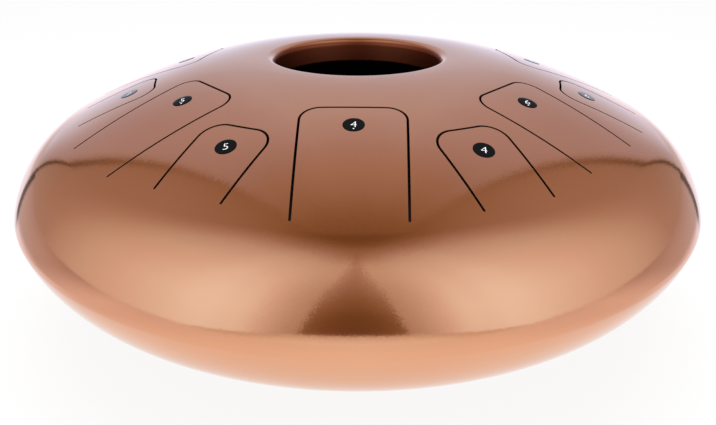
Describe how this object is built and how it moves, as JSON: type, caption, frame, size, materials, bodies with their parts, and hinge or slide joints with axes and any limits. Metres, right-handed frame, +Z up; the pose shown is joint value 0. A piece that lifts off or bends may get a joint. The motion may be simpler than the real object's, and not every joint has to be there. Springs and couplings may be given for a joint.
{
  "type": "tongue drum",
  "caption": "Round steel tongue drum: two dished shells welded at the rim, a rolled sound port in the top, tongues cut round it that spring at their roots, number labels and rubber feet.",
  "frame": {"origin": "on the drum's vertical axis, on the surface that its feet stand on", "axes": "+Z up through the sound port, -Y towards the player, +X to the player's right"},
  "size_m": [0.3546, 0.355, 0.137],
  "materials": {
    "copper_lacquer": "copper metallic lacquer with a fine flake under a clear coat",
    "label": "black vinyl sticker with a white number",
    "foot_rubber": "matte black rubber"
  },
  "bodies": {
    "drum": {"top_shell": "copper_lacquer", "bottom_shell": "copper_lacquer", "rim_weld": "copper_lacquer", "foot_1": "foot_rubber", "foot_2": "foot_rubber", "foot_3": "foot_rubber", "foot_4": "foot_rubber"},
    "tongue_low_4": {"tongue_low_4": "copper_lacquer", "label_low_4": "label"},
    "tongue_mid_4": {"tongue_mid_4": "copper_lacquer", "label_mid_4": "label"},
    "tongue_low_6": {"tongue_low_6": "copper_lacquer", "label_low_6": "label"},
    "tongue_mid_6": {"tongue_mid_6": "copper_lacquer", "label_mid_6": "label"},
    "tongue_mid_1": {"tongue_mid_1": "copper_lacquer", "label_mid_1": "label"},
    "tongue_high_1": {"tongue_high_1": "copper_lacquer", "label_high_1": "label"},
    "tongue_mid_3": {"tongue_mid_3": "copper_lacquer", "label_mid_3": "label"},
    "tongue_high_3": {"tongue_high_3": "copper_lacquer", "label_high_3": "label"},
    "tongue_mid_2": {"tongue_mid_2": "copper_lacquer", "label_mid_2": "label"},
    "tongue_high_2": {"tongue_high_2": "copper_lacquer", "label_high_2": "label"},
    "tongue_low_7": {"tongue_low_7": "copper_lacquer", "label_low_7": "label"},
    "tongue_mid_7": {"tongue_mid_7": "copper_lacquer", "label_mid_7": "label"},
    "tongue_low_5": {"tongue_low_5": "copper_lacquer", "label_low_5": "label"},
    "tongue_mid_5": {"tongue_mid_5": "copper_lacquer", "label_mid_5": "label"}
  },
  "joints": [
    {"name": "bend_low_4", "type": "hinge", "parent": "drum", "child": "tongue_low_4", "pos_m": [0, -0.14595, 0.10913], "axis": [1, 0, 0], "range_deg": [-0.5, 0.5], "stiffness_Nm_per_rad": 115.9},
    {"name": "bend_mid_4", "type": "hinge", "parent": "drum", "child": "tongue_mid_4", "pos_m": [0.06311, -0.13105, 0.10938], "axis": [0.901, 0.4339, 0], "range_deg": [-0.5, 0.5], "stiffness_Nm_per_rad": 129.1},
    {"name": "bend_low_6", "type": "hinge", "parent": "drum", "child": "tongue_low_6", "pos_m": [0.10996, -0.08769, 0.1117], "axis": [0.6235, 0.7818, 0], "range_deg": [-0.5, 0.5], "stiffness_Nm_per_rad": 127},
    {"name": "bend_mid_6", "type": "hinge", "parent": "drum", "child": "tongue_mid_6", "pos_m": [0.14054, -0.03208, 0.11002], "axis": [0.2225, 0.9749, 0], "range_deg": [-0.5, 0.5], "stiffness_Nm_per_rad": 133.4},
    {"name": "bend_mid_1", "type": "hinge", "parent": "drum", "child": "tongue_mid_1", "pos_m": [0.13488, 0.03079, 0.11277], "axis": [-0.2225, 0.9749, 0], "range_deg": [-0.5, 0.5], "stiffness_Nm_per_rad": 132.5},
    {"name": "bend_high_1", "type": "hinge", "parent": "drum", "child": "tongue_high_1", "pos_m": [0.11051, 0.08813, 0.11136], "axis": [-0.6235, 0.7818, 0], "range_deg": [-0.5, 0.5], "stiffness_Nm_per_rad": 143.8},
    {"name": "bend_mid_3", "type": "hinge", "parent": "drum", "child": "tongue_mid_3", "pos_m": [0.05873, 0.12195, 0.11414], "axis": [-0.901, 0.4339, 0], "range_deg": [-0.5, 0.5], "stiffness_Nm_per_rad": 140.5},
    {"name": "bend_high_3", "type": "hinge", "parent": "drum", "child": "tongue_high_3", "pos_m": [0, 0.13935, 0.11231], "axis": [-1, 0, 0], "range_deg": [-0.5, 0.5], "stiffness_Nm_per_rad": 152.3},
    {"name": "bend_mid_2", "type": "hinge", "parent": "drum", "child": "tongue_mid_2", "pos_m": [-0.05938, 0.1233, 0.11346], "axis": [-0.901, -0.4339, 0], "range_deg": [-0.5, 0.5], "stiffness_Nm_per_rad": 136.4},
    {"name": "bend_high_2", "type": "hinge", "parent": "drum", "child": "tongue_high_2", "pos_m": [-0.10973, 0.08751, 0.11184], "axis": [-0.6235, -0.7818, 0], "range_deg": [-0.5, 0.5], "stiffness_Nm_per_rad": 148},
    {"name": "bend_low_7", "type": "hinge", "parent": "drum", "child": "tongue_low_7", "pos_m": [-0.13634, 0.03112, 0.11207], "axis": [-0.2225, -0.9749, 0], "range_deg": [-0.5, 0.5], "stiffness_Nm_per_rad": 128.9},
    {"name": "bend_mid_7", "type": "hinge", "parent": "drum", "child": "tongue_mid_7", "pos_m": [-0.138, -0.0315, 0.11127], "axis": [0.2225, -0.9749, 0], "range_deg": [-0.5, 0.5], "stiffness_Nm_per_rad": 143},
    {"name": "bend_low_5", "type": "hinge", "parent": "drum", "child": "tongue_low_5", "pos_m": [-0.11325, -0.09031, 0.10968], "axis": [0.6235, -0.7818, 0], "range_deg": [-0.5, 0.5], "stiffness_Nm_per_rad": 118.1},
    {"name": "bend_mid_5", "type": "hinge", "parent": "drum", "child": "tongue_mid_5", "pos_m": [-0.06207, -0.12888, 0.11055], "axis": [0.901, -0.4339, 0], "range_deg": [-0.5, 0.5], "stiffness_Nm_per_rad": 137.3}
  ]
}
